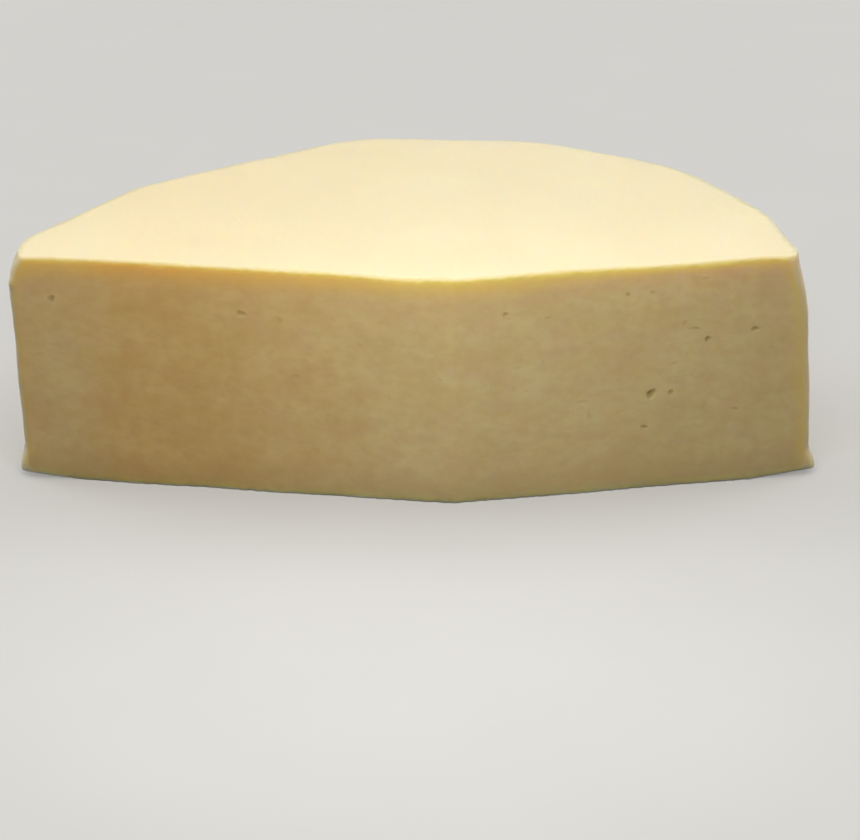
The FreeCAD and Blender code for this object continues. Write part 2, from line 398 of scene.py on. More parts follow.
def even_points(line, count):
    """The same line with evenly spaced points."""
    return places_along(line, np.linspace(0.0, lengths_along(line)[-1], count))


def trimmed(line, start, end):
    """The line without its first and last stretch of the given lengths."""
    lengths = lengths_along(line)
    first, last = start, lengths[-1] - end
    ends = places_along(line, np.array((first, last)))
    return np.vstack((ends[0], line[(lengths > first) & (lengths < last)], ends[1]))


class Row:
    """Counts of points on each stretch of a row; every row has the same."""

    def __init__(self, form):
        wall = form.wall_between_cuts(form.height / 2, 0.0)
        self.right = round(np.linalg.norm(wall[0] - form.apex) / FACE_STEP)
        self.left = round(np.linalg.norm(wall[-1] - form.apex) / FACE_STEP)
        self.wall = round(np.linalg.norm(np.diff(wall, axis=0), axis=1).sum() / WALL_STEP)
        # Stretches in order: right face, right tip, wall, left tip, left face, front edge
        self.counts = (self.right, TIP_STEPS, self.wall, TIP_STEPS, self.left, TIP_STEPS)
        self.length = sum(self.counts)

    def points(self, form, height):
        """One closed row of points in plan at a height, anticlockwise from the front edge."""
        inset = edge_inset(form.height - height, form.cut_edge) + edge_inset(height, form.base_edge)
        lifted = height + form.rim_lift * max(0.0, 1.0 - height / LIFT_HEIGHT)
        wall = form.wall_between_cuts(lifted, inset)
        right_tip, left_tip = wall[0], wall[-1]
        apex = form.apex + (form.right + form.left) * inset / abs(cross(form.left, form.right))
        right_round, left_round = form.tip_round, form.tip_round * LEFT_TIP_SOFTER
        wall_points = even_points(trimmed(wall, right_round, left_round), self.wall)
        right_start = apex + form.right * form.front_round
        right_end = right_tip - form.right * right_round
        left_start = left_tip - form.left * left_round
        left_end = apex + form.left * form.front_round
        return np.vstack((
            np.linspace(right_start, right_end, self.right),
            rounded_corner(right_end, right_tip, wall_points[0], TIP_STEPS),
            wall_points,
            rounded_corner(wall_points[-1], left_tip, left_start, TIP_STEPS),
            np.linspace(left_start, left_end, self.left),
            rounded_corner(left_end, apex, right_start, TIP_STEPS),
        ))

    def rind_columns(self):
        """Which strips between points are skin: the wall and the outer half of each tip."""
        start = self.right + TIP_STEPS // 2
        end = self.right + TIP_STEPS + self.wall + TIP_STEPS // 2
        columns = np.zeros(self.length, bool)
        columns[start:end] = True
        return columns


def row_heights(form):
    """Heights of the rows, close together round the two edges."""
    turn = np.linspace(0.0, 0.5 * math.pi, EDGE_STEPS)
    low = form.base_edge * (1.0 - np.cos(turn))
    high = form.height - form.cut_edge + form.cut_edge * np.sin(turn)
    count = round((high[0] - low[-1]) / FACE_STEP)
    middle = np.linspace(low[-1], high[0], count + 1)[1:-1]
    return np.concatenate((low, middle, high))


def filled(ring, spacing):
    """Fills a closed convex row with a net of triangles. Returns the points added inside it, and
    triangles that count through the ring's points and then the added ones."""
    low, high = ring.min(axis=0), ring.max(axis=0)
    rise = spacing * math.sqrt(0.75)
    grid = []
    for i, y in enumerate(np.arange(low[1], high[1], rise)):
        xs = np.arange(low[0] + 0.5 * spacing * (i % 2), high[0], spacing)
        grid.append(np.stack((xs, np.full(len(xs), y)), axis=1))
    grid = np.vstack(grid)
    sides = unit_rows(np.roll(ring, -1, axis=0) - ring)
    room = np.full(len(grid), np.inf)
    for corner, side in zip(ring, sides):
        room = np.minimum(room, cross(side, grid - corner))
    inner = grid[room > NET_MARGIN * spacing]
    both = np.vstack((ring, inner))
    border = [(i, (i + 1) % len(ring)) for i in range(len(ring))]
    both = [Vector(place) for place in both]
    inside_border, tolerance = 1, 1e-7
    found = geometry.delaunay_2d_cdt(both, border, [], inside_border, tolerance)
    found_faces, sources = found[2], found[3]
    return inner, [tuple(sources[v][0] for v in face) for face in found_faces]


def at_height(ring, height):
    """Plan points at one height."""
    return np.column_stack((ring, np.full(len(ring), height)))


def plain_mesh(form):
    """The cut wheel with true edges but flat faces: points, faces and each face's material slot."""
    row = Row(form)
    heights = row_heights(form)
    rows = [row.points(form, height) for height in heights]
    points = [at_height(ring, height) for ring, height in zip(rows, heights)]
    faces, slots = [], []
    columns = row.rind_columns()
    for r in range(len(rows) - 1):
        low = r * row.length
        high = low + row.length
        for c in range(row.length):
            following = (c + 1) % row.length
            faces.append((low + c, low + following, high + following, high + c))
            slots.append(SIDE_SLOT if columns[c] else PASTE_SLOT)
    total = len(rows) * row.length
    for level, spacing in ((0, UNDERSIDE_STEP), (len(rows) - 1, TOP_STEP)):
        inner, triangles = filled(rows[level], spacing)
        points.append(at_height(inner, heights[level]))
        plan = np.vstack((rows[level], inner))
        numbers = [*range(level * row.length, (level + 1) * row.length)]
        numbers += range(total, total + len(inner))
        for triangle in triangles:
            indices = [numbers[v] for v in triangle]
            a, b, c = (plan[v] for v in triangle)
            upward = cross(b - a, c - a) > 0.0
            if upward != (level > 0):
                indices.reverse()
            faces.append(tuple(indices))
            slots.append(TOP_SLOT if level else SIDE_SLOT)
        total += len(inner)
    return np.vstack(points), faces, slots


def eye_places(form):
    """Each eye's centre, the two directions in its cut face, half sizes and depth."""
    for side, along, height, width, tall, deep, tilt in EYES:
        heading = form.right if side == "right" else form.left
        centre = np.append(form.apex + heading * along, height * form.stretch)
        across = np.append(heading if side == "right" else -heading, 0.0)
        turn = math.radians(tilt)
        upward = np.array((0.0, 0.0, 1.0))
        long_way = across * math.cos(turn) + upward * math.sin(turn)
        short_way = upward * math.cos(turn) - across * math.sin(turn)
        yield side, centre, long_way, short_way, 0.5 * width, 0.5 * tall, deep


def refine_near_eyes(mesh, form):
    """Divides the cut faces finely where the eyes will be pressed in."""
    bm = bmesh.new()
    bm.from_mesh(mesh)
    for margin in EYE_MARGINS:
        chosen = set()
        verts = list(bm.verts)
        co = np.array([v.co for v in verts]) / MM
        behind = np.minimum(*form.behind_cuts(co))
        for _, centre, _, _, wide, tall, _ in eye_places(form):
            reach = max(wide, tall) + margin
            from_eye = np.linalg.norm(co - centre, axis=1)
            near = np.flatnonzero((from_eye < reach) & (behind < ON_FACE))
            close = set(near.tolist())
            for i in near:
                for edge in verts[i].link_edges:
                    if edge.other_vert(verts[i]).index in close:
                        chosen.add(edge)
        edges = sorted(chosen, key=lambda e: e.index)
        bmesh.ops.subdivide_edges(bm, edges=edges, cuts=1, use_grid_fill=True)
        bm.verts.ensure_lookup_table()
        bm.verts.index_update()
        bm.edges.index_update()
    bmesh.ops.triangulate(bm, faces=[f for f in bm.faces if len(f.verts) > 4])
    bm.to_mesh(mesh)
    bm.free()


def pressed_eyes(points, moved, behind_cut, form):
    """Presses the eyes into the moved points. Returns how much painted shade each point gets in
    them.
    """
    eye_shade = np.zeros(len(points))
    random = np.random.default_rng(EYE_SEED)
    for side, centre, long_way, short_way, wide, tall, deep in eye_places(form):
        ripple, phase = random.uniform(*EYE_RIPPLE), random.uniform(0.0, 2.0 * math.pi)
        offset = points - centre
        x, y = offset @ long_way / wide, offset @ short_way / tall
        near = (np.abs(x) < EYE_REACH) & (np.abs(y) < EYE_REACH) & (behind_cut < ON_FACE)
        x, y = x[near], y[near]
        angle = np.arctan2(y, x)
        stray = np.sin(2 * angle + phase) + 0.5 * np.sin(3 * angle - phase)
        reach = np.hypot(x, y) / (1.0 + ripple * stray)
        hollow = EYE_HOLLOW * deep * min(1.0, deep / EYE_SHALLOW)
        hollow = hollow * np.clip(1.0 - (reach / EYE_RIM) ** 2, 0.0, 1.0) ** EYE_CURVE
        lip = EYE_LIP * deep * bell((reach - EYE_LIP_PLACE) / EYE_LIP_WIDTH)
        outward = form.right_out if side == "right" else form.left_out
        moved[near, :2] += outward * (lip - hollow)[:, None]
        # Painted shade in the hollow, fuller for deeper eyes
        shade = EYE_SHADE * ease(EYE_SHADE_REACH - reach) * min(1.0, deep / EYE_SHADE_DEPTH)
        eye_shade[near] = np.maximum(eye_shade[near], shade)
    return eye_shade


def blended_depth(*depths):
    """The smallest of the depths, eased where two are alike."""
    farthest, most = 60.0, 40.0
    total = sum(np.exp(-np.clip(depth, 0.0, farthest) / DEPTH_SOFTNESS) for depth in depths)
    return np.clip(-DEPTH_SOFTNESS * np.log(total), 0.0, most)


def shaped(points, form):
    """Moves the plain points to the real surface. Returns the new points, and for each one the
    values that the materials read."""
    behind_right, behind_left = form.behind_cuts(points)
    behind_cut = np.minimum(behind_right, behind_left)
    behind_wall = form.behind_wall(points)
    across, height = points[:, 0], points[:, 2]
    below_top = form.height - height
    moved = points.copy()

    # The way out of the cut that each point is nearest to; the front edge shares both
    share = ease(0.5 + 0.5 * (behind_left - behind_right) / FRONT_BLEND)
    cut_out = share[:, None] * form.right_out + (1.0 - share)[:, None] * form.left_out
    on_cut = ease(1.0 - behind_cut / CUT_REACH)
    on_wall = ease(1.0 - behind_wall / WALL_REACH)
    on_top = ease(1.0 - below_top / TOP_REACH)

    # Pressed and dried top: a shallow crown, with dips a few centimetres apart and finer ones
    moved[:, 2] -= form.top_drop * ease(1.0 - behind_wall / TOP_DROP_WIDTH) * on_top
    from_front_edge = np.linalg.norm(points[:, :2] - form.apex, axis=1)
    bank = ease((from_front_edge - CUT_BANK_START) / CUT_BANK_RUN)
    bank *= bell(behind_cut / CUT_BANK_WIDTH)
    left_of_edge = (behind_right - behind_left) / WORN_PLACE
    worn = bell(left_of_edge - 1.0) * ease(left_of_edge) * bell(behind_cut / WORN_WIDTH)
    swell = layered(points, TOP_SWELLS) + CUT_BANK * bank - WORN_DEPTH * worn
    moved[:, 2] += (form.crown + swell) * on_top

    # The rim has lifted off the board
    rim = np.clip(1.0 - behind_wall / form.rim_lift_width, 0.0, 1.0) ** LIFT_CURVE
    moved[:, 2] += form.rim_lift * rim * np.clip(1.0 - height / LIFT_HEIGHT, 0.0, 1.0)

    # Side wall: slumped a little between the turns it was given while it drained
    burr = bell((height - BURR_HEIGHT * form.stretch) / BURR_TALL) * bell(behind_left / BURR_WIDE)
    push = layered(points, WALL_SWELLS) + BURR_SIZE * burr * (behind_wall < BURR_SKIN)
    moved[:, :2] += unit_rows(points[:, :2]) * (push * on_wall)[:, None]

    # Knife-cut faces: long shallow waves that run with the blade, finer drag between them
    waver = layered(points * WAVE_SQUEEZE, CUT_WAVES)
    moved[:, :2] += cut_out * (waver * on_cut)[:, None]

    # Edges of the cut crumble a little where the blade went in and came out
    by_cut = ease(1.0 - behind_cut / CRUMBLE_WIDTH)
    near_top = bell(below_top / CRUMBLE_DEPTH) * by_cut
    near_base = bell(height / CRUMBLE_DEPTH) * by_cut
    crumble = layered(points, EDGE_CRUMBS)
    moved[:, :2] += cut_out * (crumble * (near_top + near_base))[:, None]
    moved[:, 2] += CRUMBLE_LOWERS * crumble * near_top

    eye_shade = pressed_eyes(points, moved, behind_cut, form)

    # Depth under the skin, and depth in the golden band of dried paste and painted glow under it
    skin = FOOT_SKIN * ease(1.0 - height / FOOT_SKIN_HEIGHT)
    skin += SHOULDER_SKIN * ease((height - SHOULDER_FROM) / SHOULDER_RUN)
    thinner = 1.0 + BAND_THINS * ease((across - THIN_FROM) / THIN_RUN)
    paler = PALER_WALL + PALER_LEFT * ease((LEFT_FROM - across) / LEFT_RUN)
    band_glow_depth = blended_depth(
        below_top * thinner,
        paler + WALL_SHARE * behind_wall,
        PALER_BASE + BASE_SHARE * height,
    )
    # Painted warm bounce light: stronger to the left, fading again towards the far left end
    bounce_end = BOUNCE_END_LOSS * ease((BOUNCE_END_FROM - across) / BOUNCE_END_RUN)
    return moved, {
        "skin_depth": blended_depth(below_top, behind_wall - skin, height),
        "band_glow_depth": band_glow_depth,
        "eye_shade": eye_shade,
        "painted_bounce": ease((BOUNCE_FROM - across) / BOUNCE_RUN) * (1.0 - bounce_end),
        "cut_nearness": bell(behind_cut / CUT_SHOWS),
    }


# ---------------------------------------------------------------------------
# Materials


# Sockets that have no name of their own
MIX_SHARE, MIX_A, MIX_B, MIX_RESULT = 0, 6, 7, 2
SHADER_SHARE, SHADER_A, SHADER_B = 0, 1, 2
MATH_A, MATH_B = 0, 1


def per_mm(size):
    """Scale of a texture in object coordinates whose features are this many mm across."""
    return 1.0 / (size * MM)


def from_to(from_min, from_max, to_min, to_max):
    """Settings that turn one range of values into another."""
    return {"From Min": from_min, "From Max": from_max, "To Min": to_min, "To Max": to_max}


def add_node(tree, kind, inputs=None, **settings):
    """Adds a node with its settings; each input is a value or another node's output socket."""
    made = tree.nodes.new(kind)
    for name, value in settings.items():
        setattr(made, name, value)
    for socket, value in (inputs or {}).items():
        if isinstance(value, bpy.types.NodeSocket):
            tree.links.new(value, made.inputs[socket])
        else:
            made.inputs[socket].default_value = value
    return made


def new_material(name):
    material = bpy.data.materials.new(name)
    material.use_nodes = True
    material.node_tree.nodes.clear()
    return material, material.node_tree


def cloth_pressed_rind(look, name, sink, cut_edge_shows):
    """Milk skin pressed in cloth, dried and rubbed: cream, faintly clouded, with a soft sheen."""
    material, tree = new_material(name)
    place = add_node(tree, "ShaderNodeTexCoord").outputs["Object"]
    clouds = add_node(
        tree,
        "ShaderNodeTexNoise",
        {"Vector": place, "Scale": per_mm(26), "Detail": 3.0, "Roughness": 0.5},
    )
    painted_bounce = add_node(tree, "ShaderNodeAttribute", attribute_name="painted_bounce")
    # The side wall was handled and turned on the board, and is a little deeper than the top
    upright = add_node(tree, "ShaderNodeSeparateXYZ", {"Vector": place})
    on_side = add_node(
        tree,
        "ShaderNodeMapRange",
        {"Value": upright.outputs["Z"], **from_to(37 * MM, 47 * MM, 1.0, 0.0)},
        interpolation_type="SMOOTHSTEP",
    )
    handling = add_node(
        tree,
        "ShaderNodeTexNoise",
        {"Vector": place, "Scale": per_mm(12), "Detail": 4.0, "Roughness": 0.6},
    )
    handled, rough = (
        add_node(tree, "ShaderNodeMapRange", {"Value": handling.outputs["Fac"], **from_to(*span)})
        for span in ((0.35, 0.65, 0.45, 1.0), (0.3, 0.7, 0.48, 0.62))
    )
    side_share = add_node(
        tree,
        "ShaderNodeMath",
        {MATH_A: on_side.outputs["Result"], MATH_B: handled.outputs["Result"]},
        operation="MULTIPLY",
    )
    layers = [
        (clouds.outputs["Fac"], look.rind_deep),
        # Painted warm bounce light towards the left
        (painted_bounce.outputs["Fac"], look.rind_deep),
        (side_share.outputs["Value"], look.rind_side),
    ]
    if cut_edge_shows:
        # Beside the knife cut the golden paste shows through the skin
        cut = add_node(tree, "ShaderNodeAttribute", attribute_name="cut_nearness")
        layers.append((cut.outputs["Fac"], look.skin_at_cut))
    colour = (*look.rind_light, 1)
    for share, tint in layers:
        mixed = add_node(
            tree,
            "ShaderNodeMix",
            {MIX_SHARE: share, MIX_A: colour, MIX_B: (*tint, 1)},
            data_type="RGBA",
        )
        colour = mixed.outputs[MIX_RESULT]
    # The cloth's threads are a third of a mm apart, too fine to show, so the skin has their
    # 1.2 mm unevenness
    grain = add_node(
        tree,
        "ShaderNodeTexNoise",
        {"Vector": place, "Scale": per_mm(1.2), "Detail": 3.0, "Roughness": 0.6},
    )
    grained = add_node(
        tree,
        "ShaderNodeBump",
        {"Height": grain.outputs["Fac"], "Strength": 1.0, "Distance": 0.07 * MM},
    )
    # Pinholes about 6 mm apart
    pits = add_node(
        tree, "ShaderNodeTexVoronoi", {"Vector": place, "Scale": per_mm(6), "Randomness": 1.0}
    )
    pit_shape = add_node(
        tree,
        "ShaderNodeMapRange",
        {"Value": pits.outputs["Distance"], **from_to(0.0, 0.12, 0.0, 1.0)},
        interpolation_type="SMOOTHSTEP",
    )
    bump = add_node(
        tree,
        "ShaderNodeBump",
        {
            "Height": pit_shape.outputs["Result"],
            "Strength": 1.0,
            "Distance": 0.10 * MM,
            "Normal": grained.outputs["Normal"],
        },
    )
    finish_cheese(tree, colour, rough.outputs["Result"], bump.outputs["Normal"], sink)
    return material


def knife_cut_paste(look):
    """Elastic semi-cured paste cut with a wet knife: ivory and clouded, golden where it has dried
    under the skin with painted glow there, painted shade near the board and in the eyes, and
    painted warm bounce light to the left."""
    material, tree = new_material("knife_cut_paste")
    place = add_node(tree, "ShaderNodeTexCoord").outputs["Object"]
    flat = add_node(tree, "ShaderNodeMapping", {"Vector": place, "Scale": (1.0, 1.0, 1.6)})
    layers, curd = [], {}
    # mm across, detail and roughness of each noise, where its colour begins and is full, how full
    for name, size, detail, roughness, start, end, most, tint in (
        ("clouds", 10, 3.0, 0.55, 0.32, 0.68, 0.55, look.paste_deep),
        # Ruddy patches a few mm across, as fat and whey left the curd unevenly
        ("patches", 7, 2.0, 0.50, 0.46, 0.66, 0.32, look.paste_ruddy),
        # Curds knit in flakes about 3 mm long, laid flat by the press
        ("flakes", 3, 3.0, 0.55, 0.42, 0.66, 0.42, look.paste_deep),
    ):
        noise = add_node(
            tree,
            "ShaderNodeTexNoise",
            {
                "Vector": flat.outputs["Vector"],
                "Scale": per_mm(size),
                "Detail": detail,
                "Roughness": roughness,
            },
        )
        curd[name] = noise.outputs["Fac"]
        share = add_node(
            tree,
            "ShaderNodeMapRange",
            {"Value": curd[name], **from_to(start, end, 0.0, most)},
        )
        layers.append((share.outputs["Result"], tint, "MIX"))

    # The golden band's inner edge wanders by about half a millimetre
    wander = add_node(
        tree, "ShaderNodeTexNoise", {"Vector": place, "Scale": per_mm(9), "Detail": 2.0}
    )
    drift = add_node(
        tree,
        "ShaderNodeMapRange",
        {"Value": wander.outputs["Fac"], **from_to(0.3, 0.7, -0.5, 0.5)},
    )
    band_and_glow = add_node(tree, "ShaderNodeAttribute", attribute_name="band_glow_depth")
    drifted = add_node(
        tree,
        "ShaderNodeMath",
        {MATH_A: band_and_glow.outputs["Fac"], MATH_B: drift.outputs["Result"]},
        operation="ADD",
    )
    upright = add_node(tree, "ShaderNodeSeparateXYZ", {"Vector": place})
    skin = add_node(tree, "ShaderNodeAttribute", attribute_name="skin_depth")
    # Near the board the paste is drawn a little darker, a painted shade; the golden band of dried
    # paste and painted glow fades inwards; and the cut edge of the skin lies outside it
    base_shade, gold_and_glow, skinned = (
        add_node(
            tree,
            "ShaderNodeMapRange",
            {"Value": value, **from_to(start, end, most, 0.0)},
            interpolation_type="SMOOTHSTEP",
        ).outputs["Result"]
        for value, start, end, most in (
            (upright.outputs["Z"], 0.0, 10 * MM, 0.55),
            (drifted.outputs["Value"], 1.2, 6.0, 1.0),
            (skin.outputs["Fac"], 0.10, 0.75, 1.0),
        )
    )
    painted_bounce = add_node(tree, "ShaderNodeAttribute", attribute_name="painted_bounce")
    eyes = add_node(tree, "ShaderNodeAttribute", attribute_name="eye_shade")
    layers += [
        # Painted shade: the paste drawn darker near the board
        (base_shade, look.paste_damp, "MIX"),
        # Golden band: dried paste, with painted glow of light through the top edge
        (gold_and_glow, look.under_rind, "MIX"),
        # Painted warm bounce light towards the left, laid over the paste's own colour
        (painted_bounce.outputs["Fac"], look.paste_warm, "MULTIPLY"),
        (skinned, look.skin_at_cut, "MIX"),
        # Painted shade inside the eyes
        (eyes.outputs["Fac"], look.eye_lining, "MIX"),
    ]
    colour = (*look.paste_light, 1)
    for share, tint, blend in layers:
        mixed = add_node(
            tree,
            "ShaderNodeMix",
            {MIX_SHARE: share, MIX_A: colour, MIX_B: (*tint, 1)},
            data_type="RGBA",
            blend_type=blend,
        )
        colour = mixed.outputs[MIX_RESULT]
    moist = add_node(
        tree,
        "ShaderNodeMapRange",
        {"Value": curd["clouds"], **from_to(0.3, 0.7, 0.46, 0.58)},
    )
    bump = add_node(
        tree, "ShaderNodeBump", {"Height": curd["flakes"], "Strength": 1.0, "Distance": 0.13 * MM}
    )
    finish_cheese(tree, colour, moist.outputs["Result"], bump.outputs["Normal"], PASTE_SINK)
    return material


def finish_cheese(tree, colour, roughness, normal, sink):
    """Ends a cheese material: light sinks in a few mm, red deepest, and comes out soft."""
    shader = add_node(
        tree,
        "ShaderNodeBsdfPrincipled",
        {
            "Base Color": colour,
            "Roughness": roughness,
            "Normal": normal,
            "IOR": 1.45,
            "Subsurface Weight": 1.0,
            "Subsurface Radius": SINK_SHARES,
            "Subsurface Scale": sink * MM,
        },
    )
    add_node(tree, "ShaderNodeOutputMaterial", {"Surface": shader.outputs["BSDF"]})


def matt_painted_board(look):
    """Matt painted board: pale to the eye and in reflections, but dim as a bounce, so that it
    doesn't light the cheese."""
    material, tree = new_material("matt_painted_board")
    place = add_node(tree, "ShaderNodeTexCoord").outputs["Object"]
    stipple = add_node(
        tree, "ShaderNodeTexNoise", {"Vector": place, "Scale": per_mm(40), "Detail": 2.0}
    )
    mixed = add_node(
        tree,
        "ShaderNodeMix",
        {
            MIX_SHARE: stipple.outputs["Fac"],
            MIX_A: (*look.floor, 1),
            MIX_B: (*look.floor_shade, 1),
        },
        data_type="RGBA",
    )
    colour = mixed.outputs[MIX_RESULT]
    lit = add_node(tree, "ShaderNodeBsdfDiffuse", {"Color": colour})
    even = add_node(tree, "ShaderNodeEmission", {"Color": colour, "Strength": 1.0})
    # Past the lamps' reach the board goes on as pale as it is under them, and meets the backdrop
    away = add_node(tree, "ShaderNodeVectorMath", {"Vector": place}, operation="LENGTH")
    even_share = add_node(
        tree,
        "ShaderNodeMapRange",
        {"Value": away.outputs["Value"], **from_to(0.12, 0.8, 0.45, 1.0)},
        interpolation_type="SMOOTHSTEP",
    )
    seen = add_node(
        tree,
        "ShaderNodeMixShader",
        {
            SHADER_SHARE: even_share.outputs["Result"],
            SHADER_A: lit.outputs["BSDF"],
            SHADER_B: even.outputs["Emission"],
        },
    )
    bounce = add_node(tree, "ShaderNodeBsdfDiffuse", {"Color": (*look.floor_bounce, 1)})
    path = add_node(tree, "ShaderNodeLightPath")
    looking = path.outputs["Is Camera Ray"]
    for ray in ("Is Glossy Ray", "Is Transmission Ray"):
        either = add_node(
            tree,
            "ShaderNodeMath",
            {MATH_A: looking, MATH_B: path.outputs[ray]},
            operation="MAXIMUM",
        )
        looking = either.outputs["Value"]
    both = add_node(
        tree,
        "ShaderNodeMixShader",
        {
            SHADER_SHARE: looking,
            SHADER_A: bounce.outputs["BSDF"],
            SHADER_B: seen.outputs["Shader"],
        },
    )
    add_node(tree, "ShaderNodeOutputMaterial", {"Surface": both.outputs["Shader"]})
    return material


# ---------------------------------------------------------------------------
# What a user would change


class CheeseShape(bpy.types.PropertyGroup):
    """Sizes of the cut wheel."""

    wheel_radius: FloatProperty(
        name="Wheel radius",
        description="Middle of the wheel to its side wall",
        default=87.5 * MM,
        unit="LENGTH",
    )
    wheel_height: FloatProperty(
        name="Wheel height",
        description="Board to top face",
        default=float(WHEEL_HIGH[2]) * MM,
        unit="LENGTH",
    )
    lean_across: FloatProperty(
        name="Lean",
        description="How far the top has slumped towards the left end",
        default=2.2 * MM,
        unit="LENGTH",
    )
    rim_lift: FloatProperty(
        name="Rim lift",
        description="How far the lower rim has risen off the board",
        default=1.4 * MM,
        unit="LENGTH",
    )
    rim_lift_width: FloatProperty(
        name="Rim lift width",
        description="Width of the lifted edge of the underside",
        default=13.0 * MM,
        unit="LENGTH",
    )
    top_drop: FloatProperty(
        name="Top drop",
        description="How far the top falls away near the side wall",
        default=0.25 * MM,
        unit="LENGTH",
    )
    crown: FloatProperty(
        name="Crown",
        description="How far the middle of the top stands above the edge's height",
        default=0.40 * MM,
        unit="LENGTH",
    )
    cut_edge_round: FloatProperty(
        name="Top edge rounding",
        description="Rounding where the cut faces meet the top",
        default=0.80 * MM,
        unit="LENGTH",
    )
    base_edge_round: FloatProperty(
        name="Base edge rounding",
        description="Rounding where the cut faces meet the underside",
        default=0.22 * MM,
        unit="LENGTH",
    )
    upright_edge_round: FloatProperty(
        name="Upright edge rounding",
        description="Where the cut faces meet the side wall",
        default=1.1 * MM,
        unit="LENGTH",
    )
    front_edge_round: FloatProperty(
        name="Front edge rounding",
        description="Where the two cut faces meet",
        default=0.6 * MM,
        unit="LENGTH",
    )
    apex_right: FloatProperty(
        name="Front edge, right",
        description="Front edge to the right of the wheel's middle",
        default=7.0 * MM,
        unit="LENGTH",
    )
    apex_front: FloatProperty(
        name="Front edge, forward",
        description="Front edge in front of the wheel's middle",
        default=16.0 * MM,
        unit="LENGTH",
    )
    right_cut_turn: FloatProperty(
        name="Right cut",
        description="How far the right cut is turned back",
        default=math.radians(11.8),
        subtype="ANGLE",
    )
    left_cut_turn: FloatProperty(
        name="Left cut",
        description="How far the left cut is turned back",
        default=math.radians(9.1),
        subtype="ANGLE",
    )


# Each colour's key, name, description and sRGB hex value
COLOURS = (
    ("rind_light", "Rind", "Cream of the dried skin", "FAE9C2"),
    # Warmer clouds in the skin, and also the tint of the painted warm bounce light on it
    ("rind_deep", "Rind clouds", "Warmer clouds in the skin", "F7E1B4"),
    ("rind_side", "Side wall", "Deeper cream of the side wall", "F5DDAE"),
    ("paste_light", "Paste", "Ivory of the cut paste", "F8E2A6"),
    ("paste_deep", "Paste clouds", "Deeper clouds in the paste", "EACB86"),
    # Painted warm bounce light on the left side, not a tint of the paste itself
    ("paste_warm", "Warm side", "Tint of the warmer paste at the left side", "FDEFD7"),
    # Painted shade: paste drawn darker near the board, where shade falls
    ("paste_damp", "Damp base", "Darker paste near the board", "DDBE82"),
    ("paste_ruddy", "Ruddy patches", "Pinker patches in the paste", "EECA9A"),
    ("skin_at_cut", "Skin at the cut", "Skin by the cut, where the paste shows through", "F6DCA8"),
    # Dried paste under the rind, with painted glow of light through the top edge
    ("under_rind", "Under the rind", "Golden band where the paste has dried", "F8DE86"),
    # Painted shade: the small eyes drawn darker inside, where shade falls
    ("eye_lining", "Eyes", "Damp lining of the small eyes", "C4AE6C"),
    ("floor", "Floor", "Pale studio floor", "D6D4D0"),
    ("floor_shade", "Floor clouds", "Faint clouds in the floor", "D2D0CC"),
    ("floor_bounce", "Floor bounce", "How much light the floor throws back", "3B3A39"),
)


class CheeseLook(bpy.types.PropertyGroup):
    """Colours of the cheese and its floor."""

    __annotations__ = {
        key: FloatVectorProperty(
            name=name, description=description, default=linear(hex_colour), subtype="COLOR"
        )
        for key, name, description, hex_colour in COLOURS
    }


class StageSettings(bpy.types.PropertyGroup):
    """Camera and lamps."""

    lens: FloatProperty(
        name="Lens",
        description="Focal length on a 36 mm wide film",
        default=125.58,
        subtype="DISTANCE_CAMERA",
    )
    look_down: FloatProperty(
        name="Look down",
        description="Tilt of the camera below level",
        default=math.radians(22.0),
        subtype="ANGLE",
    )
    distance: FloatProperty(
        name="Camera distance",
        description="Camera to the top of the front edge",
        default=618.56 * MM,
        unit="LENGTH",
    )
    aim_left: FloatProperty(
        name="Aim left",
        description="How far left of the front edge the camera aims",
        default=4.95 * MM,
        unit="LENGTH",
    )
    aim_low: FloatProperty(
        name="Aim low",
        description="How far below the front edge's top the camera aims",
        default=28.56 * MM,
        unit="LENGTH",
    )
    key_power: FloatProperty(
        name="Top light",
        description="Large soft light overhead",
        default=10.8,
        unit="POWER",
    )
    fill_power: FloatProperty(
        name="Front light",
        description="Soft light in front",
        default=0.175,
        unit="POWER",
    )
    side_power: FloatProperty(
        name="Side lights",
        description="Soft lights to the left and right, a little behind",
        default=3.2,
        unit="POWER",
    )
    sky: FloatProperty(name="Room light", description="Even light from all round", default=0.22)


# ---------------------------------------------------------------------------
# Operators


